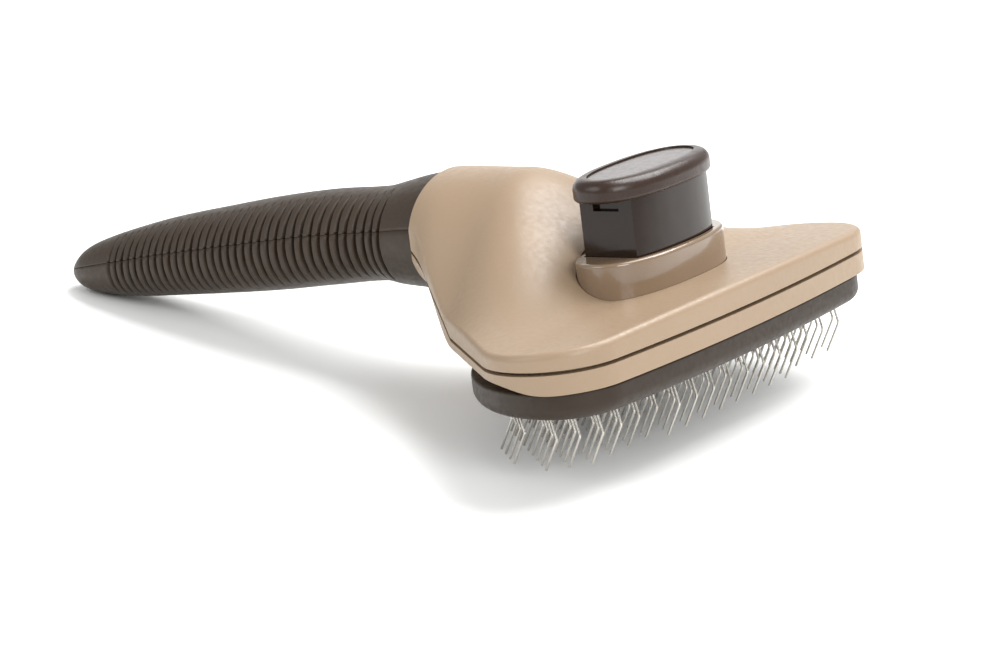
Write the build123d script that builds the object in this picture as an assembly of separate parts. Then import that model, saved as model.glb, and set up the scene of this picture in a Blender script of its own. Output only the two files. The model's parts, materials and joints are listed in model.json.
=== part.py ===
"""Self-cleaning slicker brush, in millimetres, standing as it rests on a table.

The head is drawn in its own frame: +X ahead of the handle, Y across the head, +Z square
to the pin plate, Z = 0 on the plate's underside.  The finished pieces are then turned to
the angle at which the handle's end and the rear pins share one flat surface.
"""
from build123d import *
from math import atan2, cos, hypot, pi, radians, sin, sqrt
import os

# ---- overall sizes -----------------------------------------------------------------
head_width = 114.0          # across the casing
head_reach = 15.6           # casing's front edge, ahead of the plate's widest line
mouth_x = -53.5             # casing's open end, where the handle starts
handle_length = 102.5       # from the neck joint to the handle's rounded end
neck_width = 29.4
neck_height = 25.0
neck_z = 24.5               # middle of the neck above the plate's underside
flank_angle = 42.0          # the casing's sides, measured from its long axis
front_bow = 440.0           # radius of the shallow curve of the front edge
casing_wide_x = -1.2        # the casing's widest line
neck_blend = 14.0          # radius where the flanks meet the neck

# ---- casing ------------------------------------------------------------------------
far = 90.0                  # clear of the whole head, for cuts and seams
wall = 2.2
floor_thick = 2.2
past_flank = 1.03           # how far the curved faces run past the flanks
seam_gap = 0.75             # shadow gap between the casings
lip_height = 2.9            # upper casing's edge above its rim
lip_round = 1.3
deck_z = 15.4               # top of the casing in front of the button
slope_start = -1.5          # where the deck starts to climb to the neck
slope_end = -36.0           # where the climb ends
seam_rise_x = -33.0         # behind this the seam climbs to the middle of the neck
under_rise = 2.6            # how much the underside lifts at the wing tips
tongue_wall = 1.4
tongue_height = 1.2

# ---- wiper plate -------------------------------------------------------------------
side_overhang = 3.25        # casing past the plate at the wing tips
plate_length = head_width - 2 * side_overhang
front_overhang = 1.0        # casing past the plate at the front
plate_front = head_reach - front_overhang
plate_back = 36.0
plate_thick = 5.35
plate_round = 2.4
travel = 10.0               # of the button and the wiper plate

# ---- pins --------------------------------------------------------------------------
wire = 0.48
pin_pitch = 6.2             # along a row
row_pitch = 3.2
row_count = 12
first_row_x = 7.6           # where the pins leave the base
upper_leg = (2.4, -10.55)   # run and drop from the base to the bend
lower_leg = (-3.4, -6.1)    # run and drop from the bend to the tip
bend_radius = 1.2
post_clear = 2.6            # least distance from a pin to a push post
screw_clear = 1.0           # least distance from a pin to a screw's head
slot_play = 0.3             # round a pin in the wiper plate

# ---- pin base ----------------------------------------------------------------------
base_gap = 0.15
base_thick = 1.6
cover_thick = 0.9
base_margin = 2.9           # pin base inside the plate's outline
base_ledge = 1.0            # of the lower casing under the pin base's edge
opening_margin = base_margin + base_ledge
pin_clear = 1.1             # from the opening's edge to the nearest pin
pin_margin = opening_margin + pin_clear
base_bosses = [(-21.0, 24.0), (-6.0, 30.0)]   # on both sides of the middle
casing_bosses = [(-41.0, 12.0)]
boss_radius = 3.0

# ---- heights of the head's layers, from the plate's underside up -------------------------
plate_gap = 0.4             # between the wiper plate and the lower casing
under_z = plate_thick + plate_gap       # lower casing's flat underside
floor_top = under_z + floor_thick
base_top = floor_top + base_thick
cover_top = base_top + cover_thick
rim_z = cover_top           # lower edge of the upper casing round the head
collar_foot_gap = 0.55      # between the base's cover and the collar
collar_foot_z = cover_top + collar_foot_gap

# ---- button ------------------------------------------------------------------------
button_x = -6.5
cap_length = 37.8
cap_overhang = 1.2          # past the stem, ahead and behind
cap_z = 33.9                # underside of the cap's rim
cap_thick = 4.4
cap_round = 2.3
inlay_margin = 3.0
inlay_depth = 0.6
oval_power = 2.37
stem_flat = 27.3            # between the two flat ends
stem_depth = 15.8
cap_depth = stem_depth + 2 * cap_overhang
stem_wall = 1.8
stem_cover = 1.4            # stem left inside the collar at rest
window_width = 6.0
window_height = 2.3
collar_z = 22.4
collar_wall = 1.4
collar_overhang = 1.8       # past the cap's ends
collar_flange = (1.4, 1.2)  # how far it stands out, and its thickness
collar_round = 0.7
run_gap = 0.3               # round everything that slides
collar_length = cap_length + 2 * collar_overhang
collar_depth = stem_depth + 2 * (run_gap + collar_wall)

# ---- push posts, springs and screws --------------------------------------------------
post_spacing = 15.6
post_radius = 2.3
spring_wire = 0.7
spring_radius = 3.3
spring_turns = 7
screw_radius = 1.1
screw_head_radius = 2.0
screw_head_height = 1.4
screw_gap = 0.15
screw_grip = 0.02           # clearance of a thread in its boss
counterbore = 8.0           # long enough to break out below every screw
boss_gap = 2.0              # between the casings' bosses

# ---- handle ------------------------------------------------------------------------
neck_gap = 1.2              # spigot showing between the casing and the handle
tang_length = 52.0
tang_width = 13.0
tang_height = 9.0
tang_gap = 0.2
spigot_depth = 7.0          # into the handle's collar
handle_screw_reach = (24.0, 46.0)
handle_screw_length = 14.0
# along the handle from its front: share of its length, middle, half height, half width
handle_rings = [
    (0.00, neck_z - 0.4, neck_height / 2 - 0.3, neck_width / 2 - 0.4),
    (0.05, neck_z - 0.6, neck_height / 2 - 1.0, neck_width / 2 - 1.3),
    (0.10, neck_z - 1.0, neck_height / 2 - 1.8, neck_width / 2 - 2.2),
    (0.15, neck_z - 1.2, 9.8, 11.5),
    (0.29, neck_z - 2.2, 10.0, 11.7), (0.43, neck_z - 3.7, 9.9, 11.7),
    (0.57, neck_z - 5.3, 9.3, 11.0), (0.71, neck_z - 6.9, 8.5, 10.1),
    (0.82, neck_z - 8.4, 7.5, 9.0), (0.91, neck_z - 9.5, 6.1, 7.4),
    (0.96, neck_z - 10.1, 4.7, 5.8), (0.99, neck_z - 10.5, 2.8, 3.6),
    (1.00, neck_z - 10.6, 1.3, 1.8),
]
parting_share = 0.25        # of the half height, from the middle up to the parting line


def smooth(t):
    """Climb from 0 to 1 with level ends."""
    t = min(max(t, 0.0), 1.0)
    return t * t * (3 - 2 * t)


def prism(face, low, high):
    """A flat outline as a solid from one height to another."""
    return extrude(Pos(0, 0, low) * face, high - low, dir=(0, 0, 1))


# ---- outlines ------------------------------------------------------------------------
def front_corner(half_length, front, x=0.0):
    """Corner between the bowed front and the widest line: its end, middle and centre."""
    big, a = front_bow - (front - x), front_bow - half_length
    y = (big * big - a * a) / (2 * a)
    r = half_length - y
    lean = atan2(y, big)
    end = Vector(front - front_bow + front_bow * cos(lean), front_bow * sin(lean))
    return end, Vector(x, y), r, lean


def on_arc(centre, r, angle):
    return centre + Vector(cos(angle), sin(angle)) * r


def mirrored(p):
    return Vector(p.X, -p.Y)


def flank_points(inset=0.0):
    """Where the flank leaves the corner, meets the neck's blend, and the blend's centre."""
    phi = radians(flank_angle)
    end, centre, r, lean = front_corner(head_width / 2 - inset, head_reach - inset, casing_wide_x)
    top = on_arc(centre, r, pi / 2 + phi)
    neck, blend = neck_width / 2 - inset, neck_blend + inset
    low = neck + blend * (1 - cos(phi))
    foot = top - Vector(cos(phi), sin(phi)) * ((top.Y - low) / sin(phi))
    hub = foot + Vector(-sin(phi), cos(phi)) * blend
    return top, foot, hub, neck, blend, phi


def casing_outline(inset=0.0):
    """Fan shape: bowed front, round corners, straight flanks and a neck."""
    end, centre, r, lean = front_corner(head_width / 2 - inset, head_reach - inset, casing_wide_x)
    top, foot, hub, neck, blend, phi = flank_points(inset)
    shoulder = on_arc(centre, r, (lean + pi / 2 + phi) / 2)
    waist = on_arc(hub, blend, phi / 2 - pi / 2)
    tail = Vector(hub.X, neck)
    far = Vector(hub.X - 20, neck)
    lines = [
        ThreePointArc(mirrored(end), Vector(head_reach - inset, 0), end),
        Line(mirrored(far), far),
    ]
    for side in (Vector, mirrored):
        lines += [
            ThreePointArc(side(end), side(shoulder), side(top)),
            Line(side(top), side(foot)),
            ThreePointArc(side(foot), side(waist), side(tail)),
            Line(side(tail), side(far)),
        ]
    return make_face(Wire(lines))


def plate_outline(inset=0.0):
    """Bowed front with round corners, and half an ellipse behind."""
    half, front, back = plate_length / 2 - inset, plate_front - inset, plate_back - inset
    end, centre, r, lean = front_corner(half, front)
    shoulder = on_arc(centre, r, (lean + pi / 2) / 2)
    side = Vector(0, half)
    return make_face(Wire([
        ThreePointArc(mirrored(end), Vector(front, 0), end),
        ThreePointArc(end, shoulder, side),
        ThreePointArc(mirrored(end), mirrored(shoulder), mirrored(side)),
        EllipticalCenterArc((0, 0), back, half, start_angle=90, arc_size=180),
    ]))


def oval(length, depth, steps=32):
    """The button's outline, a little fuller than an ellipse."""
    points = []
    for i in range(steps):
        c, s = cos(2 * pi * i / steps), sin(2 * pi * i / steps)
        x = depth / 2 * abs(c) ** (2 / oval_power) * (1 if c > 0 else -1)
        y = length / 2 * abs(s) ** (2 / oval_power) * (1 if s > 0 else -1)
        points.append((x + button_x, y))
    return make_face(Spline(points, periodic=True))


def stem_outline(gap=0.0):
    """The oval stem with a flat at each end."""
    full = oval(cap_length + 2 * gap, stem_depth + 2 * gap)
    flats = Pos(button_x, 0) * Rectangle(cap_depth * 2, stem_flat + 2 * gap)
    return full & flats


# ---- the casing's curved faces -----------------------------------------------------------
def half_width(x):
    """The flanks' half width, carried on past the wing tips."""
    top, foot, hub, neck, blend, phi = flank_points()
    if x > foot.X:
        return top.Y + (x - top.X) * sin(phi) / cos(phi)
    if x > hub.X:
        return hub.Y - sqrt(blend * blend - (x - hub.X) ** 2)
    return neck


def across(x, y):
    """Share of the way from the middle to just past the flank."""
    return min(abs(y) / (half_width(x) * past_flank), 1.0)


def near_neck(x):
    return smooth((seam_rise_x - x) / (seam_rise_x - mouth_x))


def deck(x, y):
    """Top of the casing: a round neck that sinks into a low deck with a thin front edge."""
    climb = smooth((slope_start - x) / (slope_start - slope_end))
    middle = deck_z + (neck_z + neck_height / 2 - deck_z) * climb
    edge = rim_z + lip_height + (neck_z - rim_z - lip_height) * near_neck(x)
    power = 1.3 - 0.8 * near_neck(x)
    return edge + (middle - edge) * (1 - across(x, y) ** 2) ** power


def belly(x, y):
    """Underside: flat over the pins, lifted at the wing tips and round at the neck."""
    s, back = across(x, y), near_neck(x)
    rear = smooth((-plate_back - x) / (-plate_back - mouth_x))
    level = under_z + (neck_z - neck_height / 2 - under_z) * rear
    tips = under_rise * smooth((s - 0.8) / 0.2) * (1 - back)
    return level + tips + (neck_z - level) * (1 - sqrt(1 - s * s)) * back


def curved_face(height, shift=0.0, rows=34, columns=29):
    """A smooth face through a height that is given over the head."""
    grid = []
    low, high = mouth_x - 4, head_reach + 4
    for i in range(rows):
        x = low + (high - low) * i / (rows - 1)
        line = []
        for j in range(columns):
            s = sin(pi / 2 * (2 * j / (columns - 1) - 1))
            y = s * half_width(x) * past_flank
            line.append(Vector(x, y, height(x, y) + shift))
        grid.append(line)
    return Face.make_surface_from_array_of_points(grid, min_deg=3)


def below(height, shift=0.0):
    return extrude(curved_face(height, shift), far, dir=(0, 0, -1))


def seam_block(shift, upper):
    """Everything above or below the seam between the casings."""
    end = far if upper else -far
    rise = (neck_z - 1 - rim_z) / (seam_rise_x - mouth_x)
    back = mouth_x - 30
    line = [(far, rim_z + shift), (seam_rise_x, rim_z + shift),
            (back, rim_z + shift + rise * (seam_rise_x - back))]
    outline = Polyline(*line, (back, end), (far, end), close=True)
    face = make_face(Plane.XZ * outline)
    return extrude(face, head_width, both=True)


# ---- small shapes ----------------------------------------------------------------------
def rod(x, y, radius, low, high):
    return Pos(x, y, (low + high) / 2) * Cylinder(radius, high - low)


def both_sides(places):
    return [(x, side * y) for x, y in places for side in (-1, 1)]


def joined(pieces):
    """Separate pieces that share one node."""
    return Compound(children=[s for p in pieces for s in p.solids()])


def screw(x, y, head_z, tip_z):
    """Pan-head screw that points up."""
    head = rod(x, y, screw_head_radius, head_z, head_z + screw_head_height)
    return head + rod(x, y, screw_radius, head_z + screw_head_height, tip_z)


def screw_hole(x, y, head_z, tip_z, depth=0.0):
    """Room for that screw, with its counterbore run down by depth."""
    head = rod(x, y, screw_head_radius + screw_gap, head_z - depth,
               head_z + screw_head_height + screw_grip)
    return head + rod(x, y, screw_radius + screw_grip, head_z, tip_z + screw_gap)


# ---- heights that follow from the sizes above --------------------------------------------
web_z = cap_z - 2.0                                   # underside of the stem's top web
stem_foot_z = collar_z - stem_cover
cap_top = cap_z + cap_thick
post_places = both_sides([(button_x, post_spacing / 2)])
base_places = both_sides(base_bosses)
casing_places = both_sides(casing_bosses)
cushion_foot = under_z + base_gap
base_head_z = floor_top - screw_head_height           # heads sunk in the cushion
base_tip_z = cover_top + 2.0
casing_tip_z = neck_z
post_head_z = 0.2
post_tip_z = plate_thick + 7.0


# ---- casing ------------------------------------------------------------------------------
def casing_block(inset, down, up, overrun=0.0):
    """The closed outer form, drawn in by an inset at the sides and from above and below."""
    length = head_reach + 4 - mouth_x
    room = Pos(mouth_x + length / 2 - overrun, 0, 30) * Box(length, head_width + 10, 2 * far)
    block = prism(casing_outline(inset), -10, far) & below(deck, -down)
    return (block - below(belly, up)) & room


def casing_screw_z(x, y):
    return belly(x, y) + 0.5


def make_upper_casing():
    outer = casing_block(0, 0, 0)
    shell = outer & seam_block(0, True)
    deck_face = shell.faces().filter_by(GeomType.BSPLINE).sort_by(SortBy.AREA)[-1]
    lip = [e for e in deck_face.edges() if e.center().X > mouth_x + 0.5]
    shell = fillet(lip, lip_round) - casing_block(wall, wall, 0, 2.0)
    under_deck = casing_block(wall / 2, wall / 2, 0)
    for x, y in base_places:
        shell += rod(x, y, boss_radius, cover_top, far) & under_deck
    for x, y in casing_places:
        low = casing_screw_z(x, y) + floor_thick + boss_gap
        shell += rod(x, y, boss_radius, low, far) & under_deck
    shell -= prism(oval(collar_length + 2 * base_gap, collar_depth + 2 * base_gap), 0, far)
    for x, y in base_places:
        shell -= screw_hole(x, y, base_head_z, base_tip_z)
    for x, y in casing_places:
        shell -= screw_hole(x, y, casing_screw_z(x, y), casing_tip_z)
    return shell


def make_lower_casing():
    """Tray with a tongue that stands up inside the upper casing and shades the seam."""
    inset = wall + base_gap
    tray = casing_block(0, 0, 0) & seam_block(-seam_gap, False)
    tray += casing_block(inset, inset, 0) & seam_block(tongue_height, False)
    tray -= casing_block(inset + tongue_wall, 0, floor_thick, 2.0)
    tray -= prism(plate_outline(opening_margin), 0, far)
    tray -= prism(plate_outline(base_margin - base_gap), floor_top, far)
    tray -= spigot(base_gap)
    for x, y in casing_places:
        tray -= screw_hole(x, y, casing_screw_z(x, y), casing_tip_z, counterbore)
    return tray


def make_collar():
    out, thick = collar_flange
    tube = prism(oval(collar_length, collar_depth), collar_foot_z, collar_z)
    tube = fillet(tube.edges().group_by(Axis.Z)[-1], collar_round)
    flange = prism(oval(collar_length + 2 * out, collar_depth + 2 * out), collar_foot_z,
                   collar_foot_z + thick)
    return tube + flange - prism(stem_outline(run_gap), 0, far)


# ---- button, wiper plate and what joins them -----------------------------------------------
def make_cap():
    cap = prism(oval(cap_length, cap_depth), cap_z, cap_top)
    cap = fillet(cap.edges().group_by(Axis.Z)[-1], cap_round)
    cap = fillet(cap.edges().group_by(Axis.Z)[0], cap_round / 3)
    recess = oval(cap_length - 2 * inlay_margin, cap_depth - 2 * inlay_margin)
    return cap - prism(recess, cap_top - inlay_depth, cap_top + 1)


def make_inlay():
    size = 2 * (inlay_margin + 0.05)
    return prism(oval(cap_length - size, cap_depth - size), cap_top - inlay_depth,
                 cap_top - inlay_depth / 2)


def make_stem():
    block = prism(stem_outline(), stem_foot_z, cap_z)
    block -= prism(stem_outline(-stem_wall), stem_foot_z - 1, web_z)
    for side in (-1, 1):
        y = side * (stem_flat / 2 - 0.6)
        z = cap_z - window_height / 2 - 0.1
        block -= Pos(button_x, y, z) * Box(window_width, 1.3, window_height)
    return block


def make_posts():
    posts = [rod(x, y, post_radius, plate_thick, web_z) for x, y in post_places]
    return joined([p - screw_hole(x, y, post_head_z, post_tip_z)
                   for p, (x, y) in zip(posts, post_places)])


def coil(x, y, low, high):
    """Round-wire compression spring about a post."""
    height = high - low - spring_wire - 0.1
    path = Helix(height / spring_turns, height, spring_radius)
    start = path @ 0
    section = Plane(origin=start, z_dir=path % 0) * Circle(spring_wire / 2)
    return Pos(x, y, low + spring_wire / 2 + 0.05) * sweep(section, path, is_frenet=True)


def pin_places():
    """Staggered rows over the plate, left out where posts and screws pass."""
    area = plate_outline(pin_margin)
    lean = upper_leg[0] * under_z / -upper_leg[1]
    kept_clear = [(x, y, post_radius + post_clear) for x, y in post_places]
    kept_clear += [(x, y, screw_head_radius + screw_clear) for x, y in base_places]
    rows = []
    for i in range(row_count):
        x = first_row_x - i * row_pitch
        shift = (i % 2) * pin_pitch / 2
        count = int(plate_length / pin_pitch) + 1
        row = []
        for j in range(-count, count):
            y = (j - 0.25) * pin_pitch + shift
            clear = all(hypot(x - u, y - v) > r for u, v, r in kept_clear)
            if clear and area.is_inside(Vector(x + lean, y, 0)):
                row.append((x, y))
        rows.append(row)
    return rows


def make_pin():
    """A steel wire, straight in the base, leaning ahead below it and bent back at the tip."""
    run, drop = upper_leg
    points = [(0, 0, base_top - under_z), (0, 0, 0), (run, 0, drop),
              (run + lower_leg[0], 0, drop + lower_leg[1])]
    path = FilletPolyline(*points, radius=bend_radius)
    section = Plane(origin=points[0], z_dir=(0, 0, -1)) * Circle(wire / 2)
    return Pos(0, 0, under_z) * sweep(section, path)


def slots(rows):
    """One slot in the wiper plate for each pin, as long as the pin's bends need."""
    run, back = upper_leg[0], lower_leg[0]
    low = min(0.0, run + back) - wire / 2 - slot_play
    high = run + wire / 2 + slot_play
    width = wire + 2 * slot_play
    slot = SlotOverall(high - low, width)
    return [Pos(x + (low + high) / 2, y) * slot for row in rows for x, y in row]


def holes(rows, radius):
    return [Pos(x, y) * Circle(radius) for row in rows for x, y in row]


def make_plate(rows):
    plate = prism(plate_outline(), 0, plate_thick)
    plate = fillet(plate.edges().group_by(Axis.Z)[0], plate_round)
    plate = fillet(plate.edges().group_by(Axis.Z)[-1], 0.4)
    cuts = [extrude(s, plate_thick + 2, dir=(0, 0, 1)) for s in slots(rows)]
    plate -= [Pos(0, 0, -1) * c for c in cuts]
    for x, y in post_places:
        plate -= screw_hole(x, y, post_head_z, plate_thick + 1, 2.0)
    return plate


def perforated(outline, rows, low, high, more):
    """A flat sheet with a hole for every pin and for the other things that pass."""
    sheet = outline - holes(rows, wire / 2 + 0.01)
    sheet -= [Pos(x, y) * Circle(r) for x, y, r in more]
    return prism(sheet, low, high)


def make_pin_base(rows):
    """Rubber cushion, rigid base and cover, each with its holes."""
    post_room = [(x, y, post_radius + run_gap) for x, y in post_places]
    shanks = [(x, y, screw_radius + screw_grip) for x, y in base_places]
    heads = [(x, y, screw_head_radius + screw_gap) for x, y in base_places]
    cushion = perforated(plate_outline(opening_margin + base_gap), rows, cushion_foot,
                         floor_top, post_room + heads)
    base = perforated(plate_outline(base_margin), rows, floor_top, base_top, post_room + shanks)
    cover = perforated(plate_outline(base_margin), [], base_top, cover_top, post_room + shanks)
    return cushion, base, cover


# ---- handle --------------------------------------------------------------------------------
handle_front = mouth_x - neck_gap


def handle_form():
    """Slim grip with a flared neck collar and a round end, through a ring at each station."""
    rings = []
    for share, z, tall, wide in handle_rings:
        plane = Plane(origin=(handle_front - share * handle_length, 0, z), x_dir=(0, 1, 0),
                      z_dir=(-1, 0, 0))
        rings.append(plane * Ellipse(wide, tall))
    return loft(rings)


def tang_line(drop):
    """Straight line down the middle of the grip, moved by a drop."""
    rise = (handle_rings[0][1] - handle_rings[6][1]) / (handle_rings[6][0] * handle_length)
    start = handle_front - 4
    end = handle_front - tang_length
    z = handle_rings[0][1] + drop
    return (start, z), (end, z - rise * (start - end))


def tang(gap):
    (x0, z0), (x1, z1) = tang_line(0)
    half = tang_height / 2 + gap
    outline = Polyline((x0, z0 - half), (x1 - gap, z1 - half), (x1 - gap, z1 + half),
                       (x0, z0 + half), close=True)
    return extrude(make_face(Plane.XZ * outline), tang_width / 2 + gap, both=True)


def spigot(gap):
    """Oval plug that fills the casing's mouth and the handle's collar."""
    wide, tall = neck_width / 2 - wall - base_gap, neck_height / 2 - wall - base_gap
    plane = Plane(origin=(mouth_x + 6 + gap, 0, neck_z), x_dir=(0, 1, 0), z_dir=(-1, 0, 0))
    length = 6 + neck_gap + spigot_depth + 2 * gap
    return extrude(plane * Ellipse(wide + gap, tall + gap), length)


def handle_screw_z(x):
    """Height of the grip's middle below the screw, less a share of its depth."""
    share = (handle_front - x) / handle_length
    for (s0, z0, t0, w0), (s1, z1, t1, w1) in zip(handle_rings, handle_rings[1:]):
        if s0 <= share <= s1:
            k = (share - s0) / (s1 - s0)
            return z0 + k * (z1 - z0) - 0.82 * (t0 + k * (t1 - t0))
    return neck_z


def make_handle():
    """Two shells that close on the tang, parted a little above the middle of the grip."""
    form = handle_form()
    line = [(handle_front - share * handle_length, z + parting_share * tall)
            for share, z, tall, wide in handle_rings]
    first, last = line[0], line[-1]
    lower_face = make_face(Plane.XZ * (
        Spline(line) + Polyline(last, (last[0] - 20, last[1]), (last[0] - 20, -far),
                                (first[0] + 20, -far), (first[0] + 20, first[1]), first)))
    lower_block = extrude(lower_face, neck_width, both=True)
    form -= tang(tang_gap) + spigot(tang_gap)
    core = spigot(0) + tang(0)
    screws = []
    for reach in handle_screw_reach:
        x = handle_front - reach
        z = handle_screw_z(x)
        tip = z + handle_screw_length
        screws.append(screw(x, 0, z, tip))
        room = screw_hole(x, 0, z, tip, counterbore)
        form -= room
        core -= rod(x, 0, screw_radius + screw_grip, 0, far)
    return form - lower_block, form & lower_block, core, joined(screws)


# ---- rest pose -----------------------------------------------------------------------------
def lowest(solid, tilt):
    return (Rot(0, -tilt, 0) * solid).bounding_box().min.Z


def resting_tilt(handle, pin):
    """Angle at which the handle's end and the rear pins are level."""
    low, high = 0.0, 30.0
    for _ in range(40):
        tilt = (low + high) / 2
        if lowest(handle, tilt) > lowest(pin, tilt):
            low = tilt
        else:
            high = tilt
    return (low + high) / 2


def build():
    rows = pin_places()
    pin = make_pin()
    upper, lower, core, handle_screws = make_handle()
    cushion, base, cover = make_pin_base(rows)
    nodes = {
        "upper_casing": make_upper_casing(),
        "lower_casing": make_lower_casing(),
        "guide_collar": make_collar(),
        "button_cap": make_cap(),
        "cap_inlay": make_inlay(),
        "button_stem": make_stem(),
        "push_posts": make_posts(),
        "wiper_plate": make_plate(rows),
        "post_screws": joined([screw(x, y, post_head_z, post_tip_z) for x, y in post_places]),
        "pin_cushion": cushion,
        "pin_base": base,
        "base_cover": cover,
        "base_screws": joined([screw(x, y, base_head_z, base_tip_z) for x, y in base_places]),
        "casing_screws": joined([screw(x, y, casing_screw_z(x, y), casing_tip_z - 0.5)
                                 for x, y in casing_places]),
        "handle_upper_half": upper,
        "handle_lower_half": lower,
        "neck_spigot": core,
        "handle_screws": handle_screws,
    }
    for name, (x, y) in zip(("near", "far"), post_places):
        nodes[f"return_spring_{name}"] = coil(x, y, cover_top, web_z)
    for i, row in enumerate(rows, 1):
        nodes[f"pin_row_{i:02d}"] = joined([Pos(x, y) * pin for x, y in row])
    return nodes, rows, pin


nodes, rows, pin = build()
rear = Pos(*rows[-1][0]) * pin
tilt = resting_tilt(nodes["handle_lower_half"], rear)
turned = {name: Rot(0, -tilt, 0) * shape for name, shape in nodes.items()}
boxes = [shape.bounding_box() for shape in turned.values()]
middle_x = (min(b.min.X for b in boxes) + max(b.max.X for b in boxes)) / 2
floor_z = min(b.min.Z for b in boxes)
os.makedirs("parts", exist_ok=True)
for name, shape in turned.items():
    export_step(Pos(-middle_x, 0, -floor_z) * shape, f"parts/{name}.step")
print("tilt", round(tilt, 3), "head origin", round(-middle_x, 3), round(-floor_z, 3),
      "pins", sum(len(row) for row in rows))
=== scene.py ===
"""A self-cleaning slicker brush at rest on a pale table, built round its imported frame."""
import json
from math import asin, cos, pi, radians, sin

import bmesh
import bpy
from mathutils import Matrix, Vector


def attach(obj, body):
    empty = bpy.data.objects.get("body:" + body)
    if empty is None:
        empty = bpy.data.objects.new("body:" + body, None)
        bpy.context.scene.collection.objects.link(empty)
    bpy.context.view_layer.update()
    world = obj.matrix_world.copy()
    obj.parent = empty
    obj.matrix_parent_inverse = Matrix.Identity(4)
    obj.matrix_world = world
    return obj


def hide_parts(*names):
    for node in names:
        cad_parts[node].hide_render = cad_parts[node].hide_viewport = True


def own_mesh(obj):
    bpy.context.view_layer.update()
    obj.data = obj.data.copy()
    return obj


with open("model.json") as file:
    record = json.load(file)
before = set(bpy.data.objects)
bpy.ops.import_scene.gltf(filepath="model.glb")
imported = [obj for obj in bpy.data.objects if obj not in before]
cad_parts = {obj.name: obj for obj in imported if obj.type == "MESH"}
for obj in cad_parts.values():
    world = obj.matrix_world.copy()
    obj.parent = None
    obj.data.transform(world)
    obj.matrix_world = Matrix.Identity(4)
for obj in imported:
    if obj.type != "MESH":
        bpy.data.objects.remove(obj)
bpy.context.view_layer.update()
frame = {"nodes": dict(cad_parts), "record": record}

# ---- lie of the head -------------------------------------------------------------------
# The brush rests on its handle's end and its rear pins, so the head leans.  The button's
# face and its normal give the head's own origin, on the underside of the wiper plate.
thumb_face = frame["record"]["mounts"][0]
head_up = Vector(thumb_face["axis"])
head_ahead = Vector((head_up.z, 0.0, -head_up.x))
face_height, face_ahead = 0.0380, -0.0065
head_at = Vector(thumb_face["pos_m"]) - head_up * face_height - head_ahead * face_ahead
head_lie = Matrix.Translation(head_at) @ Matrix((
    (head_ahead.x, 0.0, head_up.x, 0.0), (0.0, 1.0, 0.0, 0.0),
    (head_ahead.z, 0.0, head_up.z, 0.0), (0.0, 0.0, 0.0, 1.0)))

# ---- camera ----------------------------------------------------------------------------
# A long lens stands well back and to the near side, and looks down a little on the button
# and along the front edge of the head.
camera = bpy.data.objects.new("camera", bpy.data.cameras.new("camera"))
bpy.context.scene.collection.objects.link(camera)
camera.data.lens = 150.5
camera.data.sensor_width = 36.0
look_turn, look_drop, stand_off = radians(34.79), radians(17.73), 0.8505
camera_roll = radians(0.8)
look_at = head_at + Vector((-0.04564, 0.0, -0.00492))
look_back = Vector((sin(look_turn) * cos(look_drop), -cos(look_turn) * cos(look_drop),
                    sin(look_drop)))
camera.location = look_at + look_back * stand_off
level_turn = (-look_back).to_track_quat("-Z", "Y").to_matrix()
camera.rotation_euler = (level_turn @ Matrix.Rotation(camera_roll, 3, "Z")).to_euler()
bpy.context.scene.camera = camera

# ---- table and light ---------------------------------------------------------------------
# A seamless white sweep under large soft lamps: overhead and behind for the deck and cap,
# right for the front edge, weak on the left, and low behind for sheen on the far wing.
floor_mesh = bmesh.new()
bmesh.ops.create_grid(floor_mesh, x_segments=1, y_segments=1, size=6.0)
floor = bpy.data.objects.new("table", bpy.data.meshes.new("table"))
floor_mesh.to_mesh(floor.data)
floor_mesh.free()
bpy.context.scene.collection.objects.link(floor)
white = bpy.data.materials.new("white_table")
white.use_nodes = True
white_shader = white.node_tree.nodes["Principled BSDF"]
white_shader.inputs["Base Color"].default_value = (0.93, 0.94, 0.93, 1)
white_shader.inputs["Roughness"].default_value = 0.6
floor.data.materials.append(white)


def soft_lamp(name, place, size, power):
    """A square lamp that faces the brush."""
    lamp = bpy.data.objects.new(name, bpy.data.lights.new(name, "AREA"))
    lamp.data.size = size
    lamp.data.energy = power
    lamp.location = place
    lamp.rotation_euler = (look_at - Vector(place)).to_track_quat("-Z", "Y").to_euler()
    bpy.context.scene.collection.objects.link(lamp)


soft_lamp("overhead", place=(0.25, 0.75, 1.3), size=1.1, power=34)
soft_lamp("right", place=(1.2, -0.5, 0.75), size=0.7, power=12)
soft_lamp("left", place=(-0.6, -1.2, 0.9), size=0.9, power=8)
soft_lamp("behind", place=(-1.25, 1.6, 0.5), size=1.4, power=5.5)
room = bpy.data.worlds.new("room")
room.use_nodes = True
room.node_tree.nodes["Background"].inputs["Color"].default_value = (1, 1, 1, 1)
room.node_tree.nodes["Background"].inputs["Strength"].default_value = 0.55
bpy.context.scene.world = room
bpy.context.scene.view_settings.view_transform = "Standard"

# ---- casing ------------------------------------------------------------------------------
# The two halves of the fan-shaped head and the plug in its neck, moulded in tan ABS with a
# fine spark-eroded grain that turns silky where it has been handled.  Screws close them.
fleck_share = 0.31                    # the flecks' scale against the grain's
moulded_relief = 0.6
coat_roughness = 0.05


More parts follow.
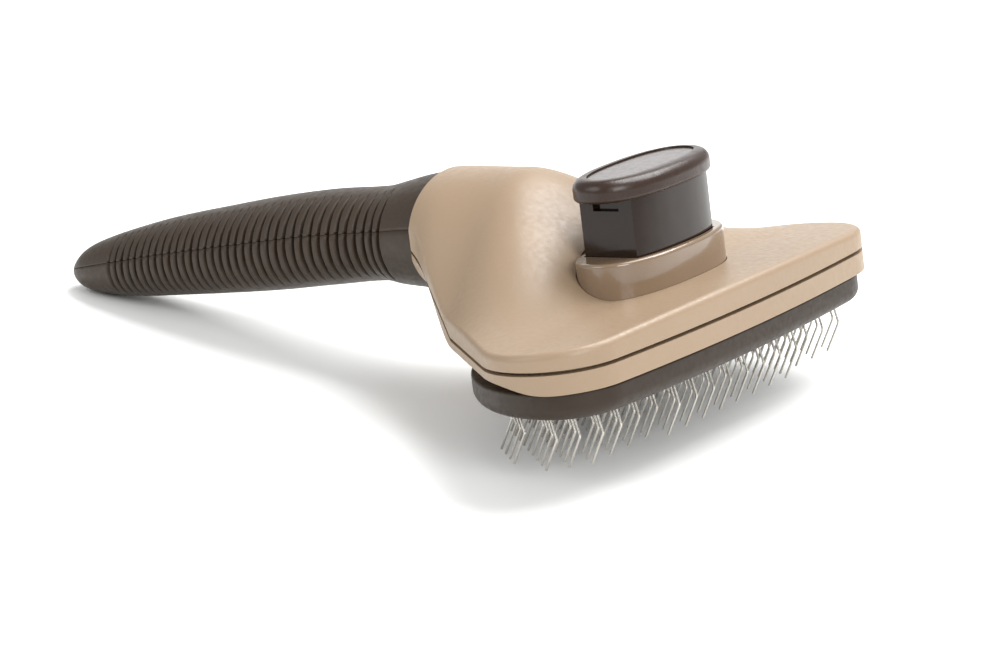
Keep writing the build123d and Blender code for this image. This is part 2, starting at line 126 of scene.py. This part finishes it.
def moulded_skin():
    """Grain, slow changes of tone and patchy polish of a moulded surface."""
    group = bpy.data.node_groups.new("moulded_skin", "ShaderNodeTree")
    for socket, kind in (("Point", "Vector"), ("Colour", "Color"), ("Deep Colour", "Color"),
                         ("Grain Scale", "Float"), ("Cloud Scale", "Float"),
                         ("Least Roughness", "Float"), ("Most Roughness", "Float")):
        group.interface.new_socket(socket, in_out="INPUT", socket_type="NodeSocket" + kind)
    for socket, kind in (("Colour", "Color"), ("Roughness", "Float"), ("Height", "Float")):
        group.interface.new_socket(socket, in_out="OUTPUT", socket_type="NodeSocket" + kind)
    nodes, links = group.nodes, group.links
    given, result = nodes.new("NodeGroupInput"), nodes.new("NodeGroupOutput")
    cloud, grain, fleck = (nodes.new("ShaderNodeTexNoise") for _ in range(3))
    cloud.inputs["Detail"].default_value = 3.0
    grain.inputs["Detail"].default_value = 2.0
    fleck.inputs["Detail"].default_value = 4.0
    coarser = nodes.new("ShaderNodeMath")
    coarser.operation = "MULTIPLY"
    coarser.inputs[1].default_value = fleck_share
    links.new(given.outputs["Grain Scale"], coarser.inputs[0])
    for noise, scale in ((cloud, given.outputs["Cloud Scale"]),
                         (grain, given.outputs["Grain Scale"]), (fleck, coarser.outputs[0])):
        links.new(given.outputs["Point"], noise.inputs["Vector"])
        links.new(scale, noise.inputs["Scale"])
    tone = nodes.new("ShaderNodeMix")
    tone.data_type = "RGBA"
    links.new(cloud.outputs["Fac"], tone.inputs["Factor"])
    links.new(given.outputs["Colour"], tone.inputs["A"])
    links.new(given.outputs["Deep Colour"], tone.inputs["B"])
    links.new(tone.outputs["Result"], result.inputs["Colour"])
    polish = nodes.new("ShaderNodeMapRange")
    polish.inputs["From Min"].default_value = 0.3
    polish.inputs["From Max"].default_value = 0.7
    links.new(fleck.outputs["Fac"], polish.inputs["Value"])
    links.new(given.outputs["Least Roughness"], polish.inputs["To Min"])
    links.new(given.outputs["Most Roughness"], polish.inputs["To Max"])
    links.new(polish.outputs["Result"], result.inputs["Roughness"])
    both = nodes.new("ShaderNodeMath")
    both.operation = "ADD"
    links.new(grain.outputs["Fac"], both.inputs[0])
    links.new(fleck.outputs["Fac"], both.inputs[1])
    links.new(both.outputs["Value"], result.inputs["Height"])
    return group


skin = moulded_skin()


def moulded(name, colour, deep, grain, cloud, roughness, relief, coat=0.0, gloss=0.5):
    """A moulded material: scales are per metre, relief is the depth of its grain."""
    material = bpy.data.materials.new(name)
    material.use_nodes = True
    nodes, links = material.node_tree.nodes, material.node_tree.links
    shader = nodes["Principled BSDF"]
    place, surface, bump = (nodes.new(kind) for kind in (
        "ShaderNodeTexCoord", "ShaderNodeGroup", "ShaderNodeBump"))
    surface.node_tree = skin
    links.new(place.outputs["Object"], surface.inputs["Point"])
    surface.inputs["Colour"].default_value = (*colour, 1)
    surface.inputs["Deep Colour"].default_value = (*deep, 1)
    surface.inputs["Grain Scale"].default_value = grain
    surface.inputs["Cloud Scale"].default_value = cloud
    surface.inputs["Least Roughness"].default_value = roughness[0]
    surface.inputs["Most Roughness"].default_value = roughness[1]
    bump.inputs["Distance"].default_value = relief
    bump.inputs["Strength"].default_value = moulded_relief
    links.new(surface.outputs["Height"], bump.inputs["Height"])
    links.new(bump.outputs["Normal"], shader.inputs["Normal"])
    links.new(surface.outputs["Colour"], shader.inputs["Base Color"])
    links.new(surface.outputs["Roughness"], shader.inputs["Roughness"])
    shader.inputs["Coat Weight"].default_value = coat
    shader.inputs["Coat Roughness"].default_value = coat_roughness
    shader.inputs["Specular IOR Level"].default_value = gloss
    return material


def finish_in(material, *names):
    """Gives CAD nodes their material."""
    for name in names:
        for held in frame["nodes"][name].material_slots:
            held.material = material


tan_plastic = moulded("tan_abs", colour=(0.30, 0.215, 0.14), deep=(0.27, 0.19, 0.122),
                      grain=2600, cloud=22, roughness=(0.36, 0.5), relief=0.00002)
finish_in(tan_plastic, "upper_casing", "lower_casing", "neck_spigot")

# ---- guide collar ------------------------------------------------------------------------
# The oval tube that the button's stem runs in is moulded in the same tan plastic, and its tool
# was polished, so it is glossy; its colour is set darker than the casing's as painted shade
# from the cap.
collar_gloss_and_shade = moulded("tan_polished_and_shaded", colour=(0.21, 0.145, 0.092),
                       deep=(0.18, 0.12, 0.075), grain=900, cloud=30,
                       roughness=(0.12, 0.2), relief=0.000004, coat=0.4)
finish_in(collar_gloss_and_shade, "guide_collar")

# ---- button stem -------------------------------------------------------------------------
# The oval stem under the cap is moulded in dark brown plastic.  Its tool was polished, so
# that it slides freely in the collar, and the push posts stand under its web.
stem_gloss = moulded("brown_polished", colour=(0.016, 0.007, 0.003),
                     deep=(0.012, 0.005, 0.002), grain=900, cloud=30,
                     roughness=(0.1, 0.18), relief=0.000004, gloss=0.3)
finish_in(stem_gloss, "button_stem")

# ---- button cap --------------------------------------------------------------------------
# The cap has a coarser grain for grip under the thumb, with a satin sheen on its rounded
# rim.  A smooth inlay sits a little below the rim.
cap_satin = moulded("brown_satin", colour=(0.03, 0.014, 0.008), deep=(0.022, 0.01, 0.006),
                    grain=1700, cloud=35, roughness=(0.26, 0.38), relief=0.00004, gloss=0.4)
inlay_satin = moulded("brown_inlay", colour=(0.04, 0.022, 0.016),
                      deep=(0.03, 0.018, 0.013), grain=2400, cloud=35,
                      roughness=(0.16, 0.24), relief=0.00001)
finish_in(cap_satin, "button_cap")
finish_in(inlay_satin, "cap_inlay")

# ---- wiper plate -------------------------------------------------------------------------
# The perforated plate that strips hair off the pins is moulded in dark brown plastic with a
# fine matte grain.  Screws hold it to the feet of the push posts.
plate_matte = moulded("brown_matte", colour=(0.03, 0.018, 0.010), deep=(0.024, 0.014, 0.008),
                      grain=2600, cloud=30, roughness=(0.4, 0.55), relief=0.00002, gloss=0.3)
finish_in(plate_matte, "wiper_plate")

# ---- pin base, cover, posts and cushion ----------------------------------------------------
# Inner parts that don't show.  The base, its cover and the push posts are moulded in natural
# plastic, and the pins pass through a soft cushion of dark rubber.
inner_plastic = moulded("natural_plastic", colour=(0.55, 0.5, 0.42), deep=(0.5, 0.45, 0.38),
                        grain=1500, cloud=30, roughness=(0.4, 0.5), relief=0.00002)
cushion_rubber = moulded("cushion_rubber", colour=(0.05, 0.045, 0.04),
                         deep=(0.035, 0.03, 0.027), grain=1300, cloud=60,
                         roughness=(0.6, 0.75), relief=0.00003)
finish_in(inner_plastic, "pin_base", "base_cover", "push_posts")
finish_in(cushion_rubber, "pin_cushion")

# ---- pins and screws -----------------------------------------------------------------------
# The pins are bent from drawn stainless wire: bright, with faint lengthwise drawing marks
# and a slightly darker cloud where the wire was handled.  The screws are plated.
drawn_grain, drawn_cloud = 5000, 260
drawn_marks = (1.0, 1.0, 0.12)        # the grain drawn out lengthwise
drawn_depth, drawn_relief = 0.000006, 0.5


def drawn_steel(name, bright, dark, roughness):
    """Bright metal with long fine scratches and slow changes of tone."""
    material = bpy.data.materials.new(name)
    material.use_nodes = True
    nodes, links = material.node_tree.nodes, material.node_tree.links
    shader = nodes["Principled BSDF"]
    place, along, surface, bump = (nodes.new(kind) for kind in (
        "ShaderNodeTexCoord", "ShaderNodeMapping", "ShaderNodeGroup", "ShaderNodeBump"))
    surface.node_tree = skin
    along.inputs["Scale"].default_value = drawn_marks
    links.new(place.outputs["Object"], along.inputs["Vector"])
    links.new(along.outputs["Vector"], surface.inputs["Point"])
    surface.inputs["Colour"].default_value = (*bright, 1)
    surface.inputs["Deep Colour"].default_value = (*dark, 1)
    surface.inputs["Grain Scale"].default_value = drawn_grain
    surface.inputs["Cloud Scale"].default_value = drawn_cloud
    surface.inputs["Least Roughness"].default_value = roughness[0]
    surface.inputs["Most Roughness"].default_value = roughness[1]
    bump.inputs["Distance"].default_value = drawn_depth
    bump.inputs["Strength"].default_value = drawn_relief
    links.new(surface.outputs["Height"], bump.inputs["Height"])
    links.new(bump.outputs["Normal"], shader.inputs["Normal"])
    links.new(surface.outputs["Colour"], shader.inputs["Base Color"])
    links.new(surface.outputs["Roughness"], shader.inputs["Roughness"])
    shader.inputs["Metallic"].default_value = 1.0
    return material


pin_steel = drawn_steel("drawn_steel", bright=(0.62, 0.59, 0.54), dark=(0.3, 0.28, 0.25),
                        roughness=(0.12, 0.3))
plated_steel = drawn_steel("plated_steel", bright=(0.6, 0.6, 0.6), dark=(0.4, 0.4, 0.4),
                           roughness=(0.2, 0.35))
finish_in(pin_steel, *[name for name in frame["nodes"] if name.startswith("pin_row_")])
finish_in(plated_steel, "base_screws", "casing_screws", "handle_screws", "post_screws")

# ---- return springs --------------------------------------------------------------------------
# Two coils of plated spring wire stand round the push posts, from the base's cover to the
# underside of the stem's web.  In the brush they shorten as the button goes down; here they are
# built at one length.
spring_wire, spring_radius, spring_turns, steps_a_turn = 0.00035, 0.0033, 7, 28
spring_foot, spring_top, post_side = 0.0105, 0.03185, 0.0078
wire_sides = 10


def finished_piece(name, shell, material, slot, *nodes):
    """Lays a shell where the head lies and hangs it on the head's body."""
    bmesh.ops.transform(shell, matrix=head_lie, verts=shell.verts)
    bmesh.ops.recalc_face_normals(shell, faces=shell.faces)
    for face in shell.faces:
        face.smooth = len(face.verts) == 4
    piece = bpy.data.objects.new(name, bpy.data.meshes.new(name))
    shell.to_mesh(piece.data)
    shell.free()
    piece.data.materials.append(material)
    bpy.context.scene.collection.objects.link(piece)
    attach(piece, "head")
    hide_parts(*nodes)
    return piece


for which, side in (("near", -1), ("far", 1)):
    coil = bmesh.new()
    bmesh.ops.create_circle(coil, segments=wire_sides, radius=spring_wire)
    rise = spring_top - spring_foot - 2 * spring_wire
    bmesh.ops.rotate(coil, cent=(0, 0, 0), matrix=Matrix.Rotation(pi / 2, 3, "X"),
                     verts=coil.verts)
    bmesh.ops.translate(coil, vec=(face_ahead + spring_radius, side * post_side,
                                   spring_foot + spring_wire), verts=coil.verts)
    steps = spring_turns * steps_a_turn
    bmesh.ops.spin(coil, geom=coil.verts[:] + coil.edges[:],
                   cent=(face_ahead, side * post_side, 0), axis=(0, 0, 1),
                   dvec=(0, 0, rise / steps), angle=2 * pi * spring_turns, steps=steps)
    bmesh.ops.holes_fill(coil, edges=[e for e in coil.edges if e.is_boundary], sides=0)
    spring = finished_piece(f"spring_{which}", coil, plated_steel, "steel",
                            f"return_spring_{which}")
    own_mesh(spring)

# ---- grip ----------------------------------------------------------------------------------
# The handle's two shells, moulded in dark brown rubbery plastic and closed on the tang, with
# a flared collar at the neck.  Each side has a run of finger grooves that fade out above and
# below, and the shells part in a fine line a little above the middle.
grip_front = -0.0547
grip_length = 0.1025
neck_middle = 0.0245
# share of the length, middle below the neck's, half height, half width
grip_stations = [
    (0.00, 0.0004, 0.01215, 0.01425), (0.05, 0.0006, 0.01145, 0.01335),
    (0.10, 0.0010, 0.01065, 0.01245), (0.15, 0.0012, 0.00975, 0.01145),
    (0.29, 0.0022, 0.00995, 0.01165), (0.43, 0.0037, 0.00985, 0.01165),
    (0.57, 0.0053, 0.00925, 0.01095), (0.71, 0.0069, 0.00845, 0.01005),
    (0.82, 0.0084, 0.00745, 0.00895), (0.91, 0.0095, 0.00605, 0.00735),
    (0.96, 0.0101, 0.00465, 0.00575), (0.99, 0.0105, 0.00275, 0.00355),
    (1.00, 0.0106, 0.00125, 0.00175),
]
parting_share = 0.25
parting_gap = 0.00004
groove_count = 36
first_groove, last_groove = 0.095, 0.847
groove_depth = 0.0015
groove_share = 0.5                    # of the pitch
groove_wall = 0.11                    # of the pitch
groove_drift = 0.014                  # of the length, at the middle of the run
last_groove_cut = 0.55                # of the depth of the others
groove_above, groove_below = radians(69), radians(-50)
columns, bows = 560, 40               # facets along the grip and round a shell
sheet_half, touching = 0.5, 1e-6      # of the flat sheet that a shell is rolled from


def station(share):
    """Middle, half height and half width of the grip, on a smooth curve."""
    last = len(grip_stations) - 2
    i = min(max(sum(1 for ring in grip_stations if ring[0] <= share) - 1, 0), last)
    here, there = grip_stations[i], grip_stations[i + 1]
    before, after = grip_stations[max(i - 1, 0)], grip_stations[min(i + 2, last + 1)]
    run = there[0] - here[0]
    t = min(max((share - here[0]) / run, 0.0), 1.0)
    values = []
    for k in (1, 2, 3):
        leave = (there[k] - before[k]) / (there[0] - before[0]) * run
        reach = (after[k] - here[k]) / (after[0] - here[0]) * run
        values.append((2 * t ** 3 - 3 * t * t + 1) * here[k] + (t ** 3 - 2 * t * t + t) * leave
                      + (3 * t * t - 2 * t ** 3) * there[k] + (t ** 3 - t * t) * reach)
    return values


def groove_cut(share, angle):
    """Depth of the finger grooves: angle is from the side, positive upwards."""
    middle, reach = (groove_above + groove_below) / 2, (groove_above - groove_below) / 2
    off = (angle - middle) / reach
    if abs(off) >= 1:
        return 0.0
    fade = (1 - off * off) ** 0.5
    pitch = (last_groove - first_groove) / (groove_count - 1)
    t = (share - first_groove) / (last_groove - first_groove)
    slid = share - groove_drift * sin(pi * min(max(t, 0.0), 1.0))
    number = round((slid - first_groove) / pitch)
    if number < 0 or number >= groove_count:
        return 0.0
    away = abs(slid - first_groove - number * pitch) / pitch
    wall = min(max((groove_share / 2 * fade - away) / groove_wall, 0.0), 1.0)
    share_cut = last_groove_cut if number == groove_count - 1 else 1.0
    return groove_depth * fade * wall * share_cut


def grip_shell(upper):
    """One shell: a sheet rolled round its side of the parting line and closed along it."""
    shell = bmesh.new()
    bmesh.ops.create_grid(shell, x_segments=columns, y_segments=bows, size=sheet_half)
    edge = asin(parting_share)
    banks = [e for e in shell.edges
             if all(abs(abs(v.co.y) - sheet_half) < touching for v in e.verts)]
    for v in shell.verts:
        share, bow = sheet_half - v.co.x, v.co.y + sheet_half
        middle, tall, wide = station(share)
        lift = parting_share * tall
        low, high = (edge, pi - edge) if upper else (edge, -pi - edge)
        angle = low + (high - low) * bow
        side = angle if cos(angle) >= 0 else (pi - angle if upper else -pi - angle)
        cut = groove_cut(share, side)
        y, z = (wide - cut) * cos(angle), (tall - cut) * sin(angle)
        gap = parting_gap if upper else -parting_gap
        z = max(z, lift + gap) if upper else min(z, lift + gap)
        v.co = (grip_front - share * grip_length, y, neck_middle - middle + z)
    bmesh.ops.bridge_loops(shell, edges=banks)
    ends = [e for e in shell.edges if e.is_boundary]
    bmesh.ops.holes_fill(shell, edges=ends, sides=0)
    return shell


grip_rubber = moulded("grip_rubber", colour=(0.04, 0.026, 0.016), deep=(0.031, 0.02, 0.012),
                      grain=2300, cloud=40, roughness=(0.42, 0.58), relief=0.00003, gloss=0.32)
finished_piece("grip_upper", grip_shell(True), grip_rubber, "grip", "handle_upper_half")
finished_piece("grip_lower", grip_shell(False), grip_rubber, "grip", "handle_lower_half")
